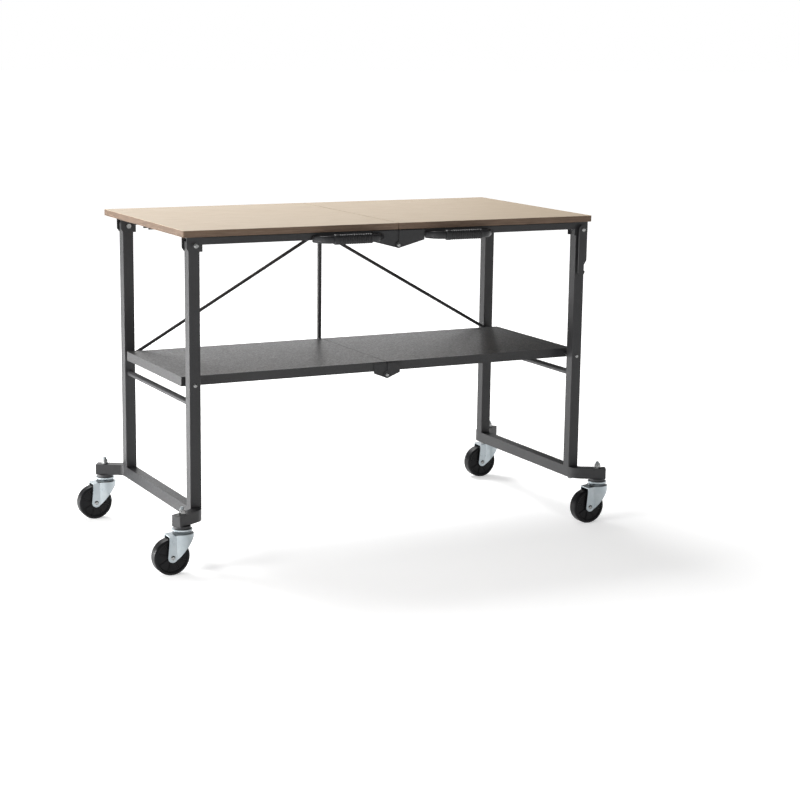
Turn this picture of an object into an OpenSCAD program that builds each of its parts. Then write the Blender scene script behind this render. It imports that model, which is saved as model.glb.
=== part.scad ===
// Sewing and work table that folds in half: two top panels and two steel shelf pans,
// each hinged at the middle, carried by two leg frames on swivel casters.
// X runs along the table, the front is -Y, Z is up. The origin is on the floor, under the
// middle of the whole footprint. All sizes are in millimetres.

/* [Top] */
// Length of the open work surface
top_l = 1264; // [1200:2:1320]
// Depth of the work surface
top_d = 648; // [630:2:680]
// Thickness of the two panels
top_t = 18; // [15:1:20]
// Height of the work surface above the floor
top_h = 911; // [880:1:950]
// How far the panels reach past the front faces of the legs
front_overhang = 7; // [6:1:12]
// Gap between the two halves at the seam
seam_gap = 1.5; // [1:0.5:3]

/* [Leg frames] */
// Depth of a leg frame over its two legs
frame_d = 558; // [540:2:580]
// Distance from the panel's end to the centre of the legs
leg_inset = 33; // [30:1:40]
// Width of a leg tube, along the table
leg_w = 32; // [28:1:32]
// Depth of a leg tube, front to back
leg_d = 32; // [28:1:34]
// Width of the base rail's tube
base_w = 30; // [26:1:32]
// Height of the base rail's tube
base_h = 31; // [28:1:34]
// Height of the underside of the base rail
base_z = 131; // [129:1:140]
// Wall of the square tubes
wall = 1.5; // [1.2:0.1:2]
// Diameter of the cross tube between the legs
cross_tube_d = 17; // [14:1:20]
// Height of the cross tube's centre
cross_tube_z = 443; // [420:1:455]

/* [Folding linkage] */
// Depth of the leg pivots below the work surface
leg_pivot_drop = 39; // [38:0.5:42]
// Depth of the centre hinge pins below the work surface
centre_pivot_drop = 61; // [59:0.5:64]
// Height of the shelf above the floor
shelf_h = 512; // [500:1:530]
// Depth of the shelf pivots below the shelf's surface
shelf_pivot_drop = 15; // [13:0.5:16]
// Largest fold angle of each half
fold_max = 86.75; // [86:0.05:87]
// Diameter of the upright rod behind the shelf
rod_d = 13; // [11:1:13]
// Diameter of the two diagonal braces
brace_d = 10; // [8:1:11]

/* [Casters] */
// Diameter of the wheels
wheel_d = 100; // [90:1:102]
// Width of the wheels
wheel_w = 32; // [26:1:34]
// How far a wheel's axle trails behind its stem
trail = 34; // [30:1:38]
// Diameter of the fork's round crown
crown_d = 62; // [58:1:64]
// Diameter of the upper ball race
race_d = 55; // [50:1:56]
// Ribs on each face of a wheel
wheel_ribs = 8; // [6:1:14]

/* [Handles] */
// Length of a carrying handle
handle_l = 215; // [205:1:220]
// Distance from the seam to the middle of the left handle
handle_x_left = 155; // [150:1:180]
// Distance from the seam to the middle of the right handle
handle_x_right = 188; // [186:1:210]
// Reach of a handle in front of the top's rail
handle_reach = 40; // [38:1:48]
// Grooves in a handle's grip
grip_grooves = 13; // [6:1:16]

/* [Hidden] */
$fn = 48;

left = -1;
right = 1;
front = -1;
rear = 1;

// Fits: bolts turn in holes with a small clearance, and faces that pass stay apart.
bolt_r = 4;
hole_r = 4.05;
play = 0.3;

// Leg frame
leg_x = top_l / 2 - leg_inset;
leg_y = (frame_d - leg_d) / 2;
inner_y = frame_d / 2 - leg_d;
tube_r = 2.5;
base_top = base_z + base_h;
leg_end_above_pivot = 7.5;

// Outriggers that carry the casters, bent out from the base rail
outrigger_turn = 60;
bend_r = 34;
bend_run = bend_r * tan(outrigger_turn / 2);
bend_y = frame_d / 2 + 11;
stem_run = 66;
outrigger_l = stem_run + 24;
stem_x = leg_x + stem_run * sin(outrigger_turn);
stem_y = bend_y + stem_run * cos(outrigger_turn);

// The casters trail to the left, so the footprint reaches further that way: this puts
// the origin under its middle.
reach_left = stem_x + trail + wheel_d / 2;
reach_right = stem_x + crown_d / 2;
seam_x = (reach_left - reach_right) / 2;

// Pivots, in the plane across the table
leg_pivot_z = top_h - leg_pivot_drop;
centre_pivot_z = top_h - centre_pivot_drop;
shelf_pivot_z = shelf_h - shelf_pivot_drop;
linkage_drop = centre_pivot_drop - leg_pivot_drop;
shelf_centre_z = shelf_pivot_z - linkage_drop;
parked_x = leg_x * cos(fold_max) + linkage_drop * sin(fold_max);

// Top frame
panel_z = top_h - top_t;
panel_front_y = -frame_d / 2 - front_overhang;
rail_h = 21;
rail_d = 20;
rail_z = panel_z - rail_h / 2;
plate_t = 2.6;
rail_face_y = frame_d / 2 + 3;
rail_y = rail_face_y - rail_d / 2;
bracket_out = 22;
bracket_in = 22.5;
bracket_drop = 18;
end_rail_x = 548;
centre_rail_x = 94;
screw_ys = [-190, 0, 190];

// Shelf
shelf_t = 1.5;
shelf_lip = 26;
shelf_gap = 26;
shelf_y = inner_y - shelf_gap;
shelf_end_x = leg_x + leg_w / 2 + 2;

// Hinge plates: two layers on one face, so that the halves pass each other
top_plate = [80, 40, 12, 9];
shelf_plate = [40, 34, 5, 10];

// Upright rod, collar and braces, in one layer between the shelf and the rear legs
rod_y = shelf_y + 14;
eye_t = 3.4;
collar_r = 10;
collar_h = 24;
collar_pin_x = 18;
collar_pin_z = centre_pivot_z - 24;
brace_dx = leg_x - collar_pin_x;
brace_dz = collar_pin_z - shelf_pivot_z;
brace_l = norm([brace_dx, brace_dz]);
brace_tilt = atan2(brace_dz, brace_dx);

// Latch
latch_t = 3.5;
latch_y = panel_front_y - 5 - latch_t;
latch_neck_r = 5;

// Caster heights
axle_z = wheel_d / 2;
crown_t = 3;
crown_z = axle_z + 58;
crown_top = crown_z + crown_t;
crown_slope_x = -12;
fork_gap = wheel_w + 5;
fork_t = 2.5;
spacer_h = 7.5;
race_top = base_z - spacer_h;
race_z = race_top - 4.5;

// Handles
grip_l = 98;
grip_h = 27;
grip_depth = 21;
collar_l = 16;
handle_z = panel_z - 17.5;
handle_bar_h = 20;
handle_foot_l = 24;

// ---------------------------------------------------------------- helpers

module at_seam() {
    translate([seam_x, 0, 0])
        children();
}

// Draws a left-hand shape on the side asked for
module on_side(side) {
    at_seam()
        mirror([side == right ? 1 : 0, 0, 0])
            children();
}

// Draws a front shape at the front, or its mirror image at the rear
module at_end(end) {
    mirror([0, end == rear ? 1 : 0, 0])
        children();
}

module front_and_rear() {
    for (end = [front, rear])
        at_end(end)
            children();
}

module round_rect(w, h, r) {
    square([w - 2 * r, h], center = true);
    square([w, h - 2 * r], center = true);
    for (x = [-1, 1], y = [-1, 1])
        translate([x * (w / 2 - r), y * (h / 2 - r)])
            circle(r = r, $fn = 24);
}

module tube_section(w, h) {
    difference() {
        round_rect(w, h, tube_r);
        round_rect(w - 2 * wall, h - 2 * wall, tube_r - wall);
    }
}

// A flat shape in X and Z, standing from y0 to y1
module plate_y(y0, y1) {
    translate([0, y1, 0])
        rotate([90, 0, 0])
            linear_extrude(y1 - y0)
                children();
}

// A round bar along Y
module pin_y(x, z, y0, y1, r) {
    plate_y(y0, y1)
        translate([x, z])
            circle(r = r);
}

module tube_along_x(x0, x1, y, z, w, h) {
    translate([x0, y, z])
        rotate([90, 0, 90])
            linear_extrude(x1 - x0)
                tube_section(w, h);
}

module tube_along_y(y0, y1, x, z, w, h) {
    translate([x, 0, z])
        plate_y(y0, y1)
            tube_section(w, h);
}

module hex_y(x, z, y0, y1, across) {
    plate_y(y0, y1)
        translate([x, z])
            circle(d = across / cos(30), $fn = 6);
}

// ---------------------------------------------------------------- leg frames

module leg(side, end) {
    color("dimgray")
        on_side(side)
            at_end(end)
                difference() {
                    translate([-leg_x, -leg_y, base_top]) {
                        linear_extrude(leg_pivot_z + leg_end_above_pivot - base_top)
                            tube_section(leg_w, leg_d);
                        linear_extrude(3)
                            round_rect(leg_w - 2 * wall, leg_d - 2 * wall, tube_r - wall);
                    }
                    for (z = [leg_pivot_z, shelf_pivot_z])
                        pin_y(-leg_x, z, -frame_d / 2 - 1, -inner_y + 1, hole_r);
                    translate([-leg_x, -leg_y, base_top - 1])
                        cylinder(r = hole_r, h = 5);
                }
}

// One long side of a rail's front half in plan, at radius r in the bend, as far as the
// end of the outrigger
function rail_side(r, l) = concat(
    [for (a = [0 : 5 : outrigger_turn]) [
        -leg_x - bend_r + r * cos(a),
        -bend_y + bend_run - r * sin(a)
    ]],
    [[
        -leg_x - bend_r + r * cos(outrigger_turn) - (l - bend_run) * sin(outrigger_turn),
        -bend_y + bend_run - r * sin(outrigger_turn) - (l - bend_run) * cos(outrigger_turn)
    ]]
);

function flipped(points) = [for (p = points) [p[0], -p[1]]];
function reversed(points) = [for (i = [len(points) - 1 : -1 : 0]) points[i]];

// Plan of a whole base rail of width w, whose outriggers are l long
module rail_plan(w, l) {
    near_side = rail_side(bend_r + w / 2, l);
    far_side = rail_side(bend_r - w / 2, l);
    polygon(concat(near_side, reversed(far_side), flipped(far_side), reversed(flipped(near_side))));
}

module base_rail(side) {
    color("dimgray")
        on_side(side)
            difference() {
                translate([0, 0, base_z])
                    linear_extrude(base_h)
                        rail_plan(base_w, outrigger_l);
                translate([0, 0, base_z + wall])
                    linear_extrude(base_h - 2 * wall)
                        rail_plan(base_w - 2 * wall, outrigger_l + 1);
                front_and_rear() {
                    translate([-stem_x, -stem_y, base_z - 1])
                        cylinder(r = 5.2, h = base_h + 2);
                    translate([-leg_x, -leg_y, base_z - 1])
                        cylinder(r = hole_r, h = base_h + 2);
                }
            }
}

// Puts a piece on the outrigger's centre line, so far from the corner of the bend, with
// -Y pointing out along the outrigger
module at_outrigger(run) {
    translate([-leg_x, -bend_y, base_z + base_h / 2])
        rotate([0, 0, -outrigger_turn])
            translate([0, -run, 0])
                children();
}

// Plastic plugs in the outriggers' ends, and a thick spacer between each outrigger and its
// caster
module plugs_and_spacers(side) {
    color("dimgray")
        on_side(side)
            front_and_rear() {
                at_outrigger(outrigger_l)
                    plate_y(-0.8, 12)
                        round_rect(base_w - 2 * wall - 0.2, base_h - 2 * wall - 0.2, 1.5);
                translate([-stem_x, -stem_y, race_top])
                    difference() {
                        cylinder(r = 23, h = spacer_h);
                        translate([0, 0, -1])
                            cylinder(r = 5.05, h = spacer_h + 2);
                    }
            }
}

module cross_tube(side) {
    color("dimgray")
        on_side(side)
            difference() {
                pin_y(-leg_x, cross_tube_z, -inner_y, inner_y, cross_tube_d / 2);
                pin_y(-leg_x, cross_tube_z, -inner_y - 1, inner_y + 1, cross_tube_d / 2 - wall);
            }
}

// Threaded stem and upper ball race, fixed under the outrigger, with the kingpin that
// holds the fork
module caster_stem() {
    translate([0, 0, race_top])
        cylinder(r = 5, h = base_top + 18.5 - race_top);
    translate([0, 0, base_top + 18.5])
        cylinder(r1 = 5, r2 = 3.8, h = 1.2);
    difference() {
        translate([0, 0, race_z])
            cylinder(d = race_d, h = race_top - race_z);
        translate([0, 0, race_z - 1])
            cylinder(d = race_d - 9, h = 3.4);
    }
    translate([0, 0, crown_z - play - 1])
        cylinder(r = 6, h = race_top - crown_z);
    translate([0, 0, crown_z - play - 4])
        cylinder(r1 = 7, r2 = 9.5, h = 4);
}

module caster_stems(side) {
    color("silver")
        on_side(side)
            front_and_rear()
                translate([-stem_x, -stem_y, 0])
                    caster_stem();
}

module caster_nut() {
    difference() {
        union() {
            cylinder(r = 11, h = 1.8);
            translate([0, 0, 1.8])
                intersection() {
                    cylinder(d = 17 / cos(30), h = 8.4, $fn = 6);
                    cylinder(r1 = 12.5, r2 = 8.9, h = 8.4);
                }
            translate([0, 0, 10.2])
                cylinder(r = 7.2, h = 3.2);
        }
        translate([0, 0, -1])
            cylinder(r = 5.05, h = 20);
    }
}

module caster_nuts(side) {
    color("silver")
        on_side(side)
            front_and_rear()
                translate([-stem_x, -stem_y, base_top])
                    caster_nut();
}

module foot_bolts(side) {
    color("gray")
        on_side(side)
            front_and_rear()
                translate([-leg_x, -leg_y, base_z]) {
                    translate([0, 0, -1.5])
                        cylinder(r = 9, h = 1.5);
                    translate([0, 0, -7.5])
                        cylinder(d = 13 / cos(30), h = 6, $fn = 6);
                    cylinder(r = bolt_r, h = base_h + 8);
                }
}

// Domed head of a bolt, whose flat side lies at y and which points to -Y
module button_head(x, z, y, r) {
    pin_y(x, z, y - 1.2, y, r);
    translate([x, y - 1.2, z])
        rotate([90, 0, 0])
            cylinder(r1 = r, r2 = r * 0.5, h = r * 0.35);
}

// The four bolts on which a leg frame turns: two in the top's brackets, two in the shelf.
// The front left one is a headed stud that catches the latch; the front right one
// carries the latch.
module pivot_bolts(side) {
    head_y = side == left ? latch_y - play : latch_y - 1;
    head_r = side == left ? 7 : 6;
    shelf_wall_y = shelf_y - shelf_t - play;
    color("gray")
        on_side(side) {
            pin_y(-leg_x, leg_pivot_z, head_y, -inner_y + 9, bolt_r);
            button_head(-leg_x, leg_pivot_z, head_y, head_r);
            pin_y(-leg_x, leg_pivot_z, latch_y - play, -rail_face_y - play, latch_neck_r);
            hex_y(-leg_x, leg_pivot_z, -inner_y + 3.6, -inner_y + 9, 13);

            pin_y(-leg_x, leg_pivot_z, inner_y - 9, rail_face_y + 1, bolt_r);
            at_end(rear)
                button_head(-leg_x, leg_pivot_z, -rail_face_y - play, 6);
            hex_y(-leg_x, leg_pivot_z, inner_y - 9, inner_y - 3.6, 13);

            for (end = [front, rear])
                at_end(end) {
                    pin_y(-leg_x, shelf_pivot_z, -frame_d / 2 - 1, -shelf_wall_y + 5, bolt_r);
                    button_head(-leg_x, shelf_pivot_z, -frame_d / 2, 5.4);
                    hex_y(-leg_x, shelf_pivot_z, -shelf_wall_y, -shelf_wall_y + 5, 13);
                }
            pin_y(-leg_x, shelf_pivot_z, -inner_y, -shelf_y - play, 7);
            pin_y(-leg_x, shelf_pivot_z, rod_y + eye_t / 2 + play, inner_y, 7);
            pin_y(-leg_x, shelf_pivot_z, shelf_y + play, rod_y - eye_t / 2 - play, 7);
        }
}

// ---------------------------------------------------------------- top

module panel(side) {
    half_l = top_l / 2 - seam_gap / 2;
    corner_r = 4;
    color("burlywood")
        on_side(side)
            difference() {
                translate([-top_l / 2, panel_front_y, panel_z])
                    linear_extrude(top_t) {
                        translate([corner_r, 0])
                            square([half_l - corner_r, top_d]);
                        translate([0, corner_r])
                            square([half_l, top_d - 2 * corner_r]);
                        for (y = [corner_r, top_d - corner_r])
                            translate([corner_r, y])
                                circle(r = corner_r);
                    }
                screw_holes(panel_z - 1, 12);
            }
}

// Clearance holes for the screws that hold a panel on its cross rails
module screw_holes(z, h) {
    for (x = [end_rail_x, centre_rail_x], y = screw_ys)
        translate([-x, y, z])
            cylinder(r = 2.55, h = h);
}

module long_rail(side, end) {
    color("dimgray")
        on_side(side)
            at_end(end)
                tube_along_x(-leg_x + bracket_in, -seam_gap / 2, -rail_y, rail_z, rail_d, rail_h);
}

// The cross rails under one panel: the outer one also carries a hat section that holds
// up the panel's free edge between the legs
module cross_rails(side) {
    rail_w = 20;
    support_w = 44;
    support_h = 10;
    color("dimgray")
        on_side(side) {
            difference() {
                for (x = [end_rail_x, centre_rail_x])
                    tube_along_y(-rail_face_y + rail_d, rail_face_y - rail_d, -x, rail_z, rail_w, rail_h);
                screw_holes(panel_z - rail_h - 1, rail_h + 2);
            }
            translate([-leg_x - 16, 28, panel_z - support_h])
                difference() {
                    cube([leg_x + 16 - end_rail_x - rail_w / 2, support_w, support_h]);
                    translate([-1, 2, -1])
                        cube([leg_x, support_w - 4, support_h - 1]);
                }
        }
}

module bracket_lug() {
    difference() {
        polygon([
            [-bracket_out, leg_pivot_drop - top_t],
            [-bracket_out, -9],
            [-bracket_out + 6, -bracket_drop],
            [bracket_in, -bracket_drop],
            [bracket_in, leg_pivot_drop - top_t]
        ]);
        circle(r = hole_r);
    }
}

// A clevis at each leg: two lugs either side of the leg's head, joined over its top
module leg_brackets(side) {
    color("dimgray")
        on_side(side)
            front_and_rear()
                translate([-leg_x, 0, leg_pivot_z]) {
                    plate_y(-rail_face_y, -rail_face_y + plate_t)
                        bracket_lug();
                    plate_y(-inner_y + play, -inner_y + play + plate_t)
                        bracket_lug();
                    translate([-bracket_out, -rail_face_y, leg_pivot_drop - top_t - plate_t])
                        cube([
                            bracket_out + bracket_in,
                            rail_face_y - inner_y + play + plate_t,
                            plate_t
                        ]);
                }
}

// Outline of a hinge plate left of its pin: size is half length, top, outer edge's foot
// and the radius round the pin, and lap is how far it reaches past the pin
module hinge_outline(size, lap) {
    difference() {
        union() {
            polygon([
                [-size[0], size[1]],
                [-size[0], size[2]],
                [-size[3] * 0.5, -size[3] * 0.85],
                [lap, 0],
                [lap, size[1]]
            ]);
            circle(r = size[3]);
        }
        circle(r = hole_r);
    }
}

// Packing behind the outer plate, clear of the other half's plate
module hinge_packing(size) {
    polygon([
        [-size[0], size[1]],
        [-size[0], size[2]],
        [-size[0] * 0.55, 4],
        [-size[3] - 5, 4],
        [-size[3] - 5, size[1]]
    ]);
}

// One half's plate against a face at y = 0, with -Y pointing away from the face. The
// left plate lies on the face and laps behind the right one, which passes outside it on
// its packing.
module hinge_plate(side, size) {
    gap = 0.25;
    if (side == left)
        plate_y(-plate_t, 0)
            hinge_outline(size, 7);
    if (side == right) {
        plate_y(-2 * plate_t - gap, -plate_t - gap)
            hinge_outline(size, -1);
        plate_y(-plate_t - gap, 0)
            hinge_packing(size);
    }
}

module hinge_plates(side) {
    color("dimgray")
        on_side(side) {
            translate([0, -rail_face_y, centre_pivot_z])
                hinge_plate(side, top_plate);
            translate([0, rail_face_y - rail_d, centre_pivot_z])
                hinge_plate(side, top_plate);
        }
}

module top_hinge_bolts() {
    stack = 2 * plate_t + 0.25;
    rear_face_y = rail_face_y - rail_d;
    color("silver")
        at_seam() {
            pin_y(0, centre_pivot_z, -rail_face_y - stack - 2, -rail_face_y + 7, bolt_r);
            button_head(0, centre_pivot_z, -rail_face_y - stack - play, 5.4);
            hex_y(0, centre_pivot_z, -rail_face_y + play, -rail_face_y + 6, 13);

            pin_y(0, centre_pivot_z, rod_y - 9, rear_face_y + 7, bolt_r);
            pin_y(0, centre_pivot_z, rear_face_y + play, rear_face_y + 3.5, 6.5);
            pin_y(0, centre_pivot_z, rod_y + 2 + play, rear_face_y - stack - play, 7);
            hex_y(0, centre_pivot_z, rod_y - 8, rod_y - 2 - play, 13);
        }
}

// Plan of a handle: a flat bow from one foot round to the other
module handle_plan() {
    arm = 12;
    core = 14;
    corner_r = 26;
    difference() {
        translate([0, 20 - handle_reach / 2])
            round_rect(handle_l, handle_reach + 40, corner_r);
        translate([0, 20 + core - handle_reach / 2])
            round_rect(handle_l - 2 * arm, handle_reach + 40, corner_r - arm);
        translate([-handle_l, 0])
            square([2 * handle_l, 100]);
    }
}

module at_handle(side) {
    at_seam()
        translate([side == left ? -handle_x_left : handle_x_right, -rail_face_y - plate_t, handle_z])
            children();
}

// Foot that is screwed to the rail. A foot that misses the hinge plate is packed out.
module handle_foot(packed) {
    plate_y(-4, packed ? plate_t : 0)
        difference() {
            round_rect(handle_foot_l, 25, 4);
            circle(r = 2.6);
        }
}

module handle_bar(side) {
    color("black")
        at_handle(side) {
            translate([0, 0, -handle_bar_h / 2])
                linear_extrude(handle_bar_h)
                    handle_plan();
            for (x = [-1, 1])
                translate([x * (handle_l - handle_foot_l) / 2, 0, 0])
                    handle_foot(side == right || x == -1);
        }
}

// Moulded grip round the bow's straight part, with a collar at its left end
module handle_grip(side) {
    core_y = 7 - handle_reach;
    start_x = (collar_l - grip_l) / 2;
    pitch = grip_l / grip_grooves;
    color("black")
        at_handle(side)
            difference() {
                translate([0, core_y, 0])
                    rotate([90, 0, 90]) {
                        translate([0, 0, start_x])
                            linear_extrude(grip_l)
                                round_rect(grip_depth - 2, grip_h - 2, 8);
                        for (i = [0 : grip_grooves - 1])
                            translate([0, 0, start_x + (i + 0.15) * pitch])
                                linear_extrude(pitch * 0.7)
                                    round_rect(grip_depth, grip_h, 9);
                        translate([0, 0, start_x - collar_l])
                            linear_extrude(collar_l)
                                round_rect(grip_depth + 1, grip_h + 1, 9);
                    }
                translate([-handle_l / 2, -handle_reach - 0.05, -handle_bar_h / 2 - 0.05])
                    cube([handle_l, 14.1, handle_bar_h + 0.1]);
            }
}

module panel_screws(side) {
    color("silver")
        on_side(side)
            for (x = [end_rail_x, centre_rail_x], y = screw_ys)
                translate([-x, y, panel_z - rail_h]) {
                    cylinder(r = 2.5, h = rail_h + 10);
                    translate([0, 0, -2.2])
                        cylinder(r1 = 3.4, r2 = 5, h = 2.2);
                }
}

// ---------------------------------------------------------------- shelf

// A folded steel pan: a flat sheet with a lip turned down all round
module shelf(side) {
    sheet_l = shelf_end_x - seam_gap / 2;
    fold_r = 2;
    color("dimgray")
        on_side(side)
            translate([-shelf_end_x, 0, shelf_h - shelf_lip])
                difference() {
                    translate([sheet_l / 2, 0, 0])
                        linear_extrude(shelf_lip)
                            round_rect(sheet_l, 2 * shelf_y, fold_r);
                    translate([sheet_l / 2, 0, -1])
                        linear_extrude(shelf_lip - shelf_t + 1)
                            round_rect(sheet_l - 2 * shelf_t, 2 * shelf_y - 2 * shelf_t, fold_r / 2);
                    pin_y(
                        shelf_end_x - leg_x, shelf_lip - shelf_pivot_drop,
                        -shelf_y - 1, shelf_y + 1, hole_r
                    );
                }
}

module shelf_hinge_plates(side) {
    color("dimgray")
        on_side(side)
            front_and_rear()
                translate([0, -shelf_y, shelf_centre_z])
                    hinge_plate(side, shelf_plate);
}

module shelf_hinge_bolts() {
    stack = 2 * plate_t + 0.25;
    color("silver")
        at_seam() {
            pin_y(0, shelf_centre_z, -shelf_y - stack - 2, -shelf_y + 7, bolt_r);
            button_head(0, shelf_centre_z, -shelf_y - stack - play, 5);
            hex_y(0, shelf_centre_z, -shelf_y + play, -shelf_y + 6, 13);

            pin_y(0, shelf_centre_z, shelf_y - 7, rod_y + 9, bolt_r);
            hex_y(0, shelf_centre_z, shelf_y - 6, shelf_y - play, 13);
            pin_y(0, shelf_centre_z, shelf_y + stack + play, rod_y - 2 - play, 7);
            pin_y(0, shelf_centre_z, rod_y + 2 + play, rod_y + 7, 6.5);
        }
}

// ---------------------------------------------------------------- rod and braces

module eye(x, z, r, t) {
    difference() {
        pin_y(x, z, rod_y - t / 2, rod_y + t / 2, r);
        pin_y(x, z, rod_y - t, rod_y + t, hole_r);
    }
}

module centre_rod() {
    neck = 12;
    color("dimgray")
        at_seam() {
            translate([0, rod_y, shelf_centre_z + neck])
                cylinder(d = rod_d, h = centre_pivot_z - shelf_centre_z - 2 * neck);
            for (z = [shelf_centre_z, centre_pivot_z]) {
                eye(0, z, 9, 4);
                inward = z == centre_pivot_z ? -1 : 1;
                plate_y(rod_y - 2, rod_y + 2)
                    translate([0, z + inward * 10])
                        square([14, 8], center = true);
            }
        }
}

// Collar that slides on the upright rod, with an ear for each brace behind them
module brace_collar() {
    ear_y = rod_y + eye_t / 2 + play;
    low_z = collar_pin_z - collar_h + 10;
    color("dimgray")
        at_seam()
            difference() {
                union() {
                    translate([0, rod_y, low_z])
                        cylinder(r = collar_r, h = collar_h);
                    plate_y(ear_y, ear_y + 3)
                        translate([0, collar_pin_z]) {
                            square([2 * collar_pin_x, 14], center = true);
                            for (x = [-1, 1])
                                translate([x * collar_pin_x, 0])
                                    circle(r = 7);
                        }
                    for (x = [-1, 1])
                        pin_y(x * collar_pin_x, collar_pin_z, ear_y + 3, ear_y + 5, 4.5);
                }
                translate([0, rod_y, low_z - 1])
                    cylinder(r = rod_d / 2 + 0.1, h = collar_h + 2);
            }
}

// A round bar flattened at both ends. Its lower eye turns on the shelf's pivot bolt, and
// its riveted upper end lies against the collar's ear.
module brace(side) {
    color("dimgray")
        on_side(side)
            translate([-leg_x, 0, shelf_pivot_z])
                rotate([0, -brace_tilt, 0]) {
                    translate([12, rod_y, 0])
                        rotate([0, 90, 0])
                            cylinder(d = brace_d, h = brace_l - 24);
                    eye(0, 0, 8, eye_t);
                    pin_y(brace_l, 0, rod_y - eye_t / 2, rod_y + eye_t / 2, 7);
                    pin_y(brace_l, 0, rod_y - eye_t / 2 - 2, rod_y - eye_t / 2, 4.5);
                    plate_y(rod_y - eye_t / 2, rod_y + eye_t / 2)
                        for (x = [11, brace_l - 11])
                            translate([x, 0])
                                square([10, 13], center = true);
                }
}

// ---------------------------------------------------------------- latch

// Flat hook hanging from the front right pivot bolt. Swung across the folded frames, its
// notch drops over the stud on the front left leg.
module latch_hook() {
    stud = -2 * parked_x;
    edge = 13.5;
    end_r = 11;
    lip = 8.5;
    floor_x = latch_neck_r + 0.3;
    color("dimgray")
        at_seam()
            translate([leg_x, 0, leg_pivot_z])
                plate_y(latch_y, latch_y + latch_t)
                    difference() {
                        union() {
                            circle(r = edge);
                            polygon([
                                [-edge, 0],
                                [-edge, stud - end_r],
                                [lip, stud - end_r],
                                [lip, stud],
                                [edge, stud],
                                [edge, 0]
                            ]);
                            translate([lip - end_r, stud - end_r])
                                circle(r = end_r);
                        }
                        circle(r = latch_neck_r + 0.05);
                        polygon([
                            [edge + 1, stud + 22],
                            [edge, stud + 22],
                            [floor_x, stud + 9],
                            [floor_x, stud - 9],
                            [edge + 1, stud - 9]
                        ]);
                    }
}

// ---------------------------------------------------------------- casters

module at_caster(side, end) {
    translate([seam_x + side * stem_x, end * stem_y, 0])
        children();
}

// Side view of a fork's cheek: it narrows from the crown to a round foot at the axle
module cheek_outline() {
    foot_r = 13.5;
    difference() {
        union() {
            polygon([
                [-trail - foot_r, axle_z],
                [-trail - 8, crown_top - 3],
                [crown_slope_x, crown_top],
                [crown_d / 2, crown_top],
                [crown_d / 2, crown_top - 4],
                [-trail + foot_r * 0.82, axle_z - foot_r * 0.57]
            ]);
            translate([-trail, axle_z])
                circle(r = foot_r);
        }
        translate([-trail, axle_z])
            circle(r = hole_r);
    }
}

// Side view of the space under a fork's crown, which slopes as the crown does
module under_crown() {
    polygon([
        [-trail - 8 - crown_d, -1],
        [-trail - 8 - crown_d, crown_z - 3],
        [-trail - 8, crown_z - 3],
        [crown_slope_x, crown_z],
        [crown_d, crown_z],
        [crown_d, -1]
    ]);
}

// Plan of a fork: two cheeks that open out into the round crown
module fork_plan(inset) {
    circle(d = crown_d - 2 * inset);
    translate([-trail - 30, -fork_gap / 2 - fork_t + inset])
        square([trail + 30, fork_gap + 2 * fork_t - 2 * inset]);
}

module fork(side, end) {
    color("silver")
        at_caster(side, end)
            difference() {
                union() {
                    intersection() {
                        plate_y(-crown_d, crown_d)
                            cheek_outline();
                        difference() {
                            linear_extrude(crown_top)
                                fork_plan(0);
                            intersection() {
                                plate_y(-crown_d, crown_d)
                                    under_crown();
                                linear_extrude(crown_top)
                                    fork_plan(fork_t);
                            }
                        }
                    }
                    translate([0, 0, crown_top])
                        cylinder(d1 = race_d - 2, d2 = race_d - 10, h = 5);
                }
                translate([0, 0, crown_z - 1])
                    cylinder(r = 6.1, h = 20);
            }
}

module axle(side, end) {
    half_w = fork_gap / 2 + fork_t;
    color("silver")
        at_caster(side, end) {
            pin_y(-trail, axle_z, -half_w - 2, half_w + 8, bolt_r);
            button_head(-trail, axle_z, -half_w, 6);
            hex_y(-trail, axle_z, half_w, half_w + 6, 13);
        }
}

// A moulded wheel: tread, rim, sunk web and hub, with radial ribs on both faces
module wheel(side, end) {
    r = wheel_d / 2;
    hub_r = 12;
    hub_w = fork_gap - 1;
    rim_in = r - 8.5;
    web = wheel_w / 2 - 3.5;
    color("black")
        at_caster(side, end)
            translate([-trail, 0, axle_z])
                rotate([90, 0, 0]) {
                    rotate_extrude($fn = 96)
                        polygon([
                            [hole_r, -hub_w / 2],
                            [hub_r, -hub_w / 2],
                            [hub_r, -web],
                            [rim_in, -web],
                            [rim_in, -wheel_w / 2 + 1],
                            [rim_in + 1, -wheel_w / 2],
                            [r - 4, -wheel_w / 2],
                            [r - 1, -wheel_w / 2 + 4],
                            [r, -wheel_w / 4],
                            [r, wheel_w / 4],
                            [r - 1, wheel_w / 2 - 4],
                            [r - 4, wheel_w / 2],
                            [rim_in + 1, wheel_w / 2],
                            [rim_in, wheel_w / 2 - 1],
                            [rim_in, web],
                            [hub_r, web],
                            [hub_r, hub_w / 2],
                            [hole_r, hub_w / 2]
                        ]);
                    for (i = [0 : wheel_ribs - 1])
                        rotate([0, 0, i * 360 / wheel_ribs])
                            translate([hub_r - 1, -1, -web - 1.5])
                                cube([rim_in - hub_r + 2, 2, 2 * web + 3]);
                }
}

// ---------------------------------------------------------------- nodes

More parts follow.
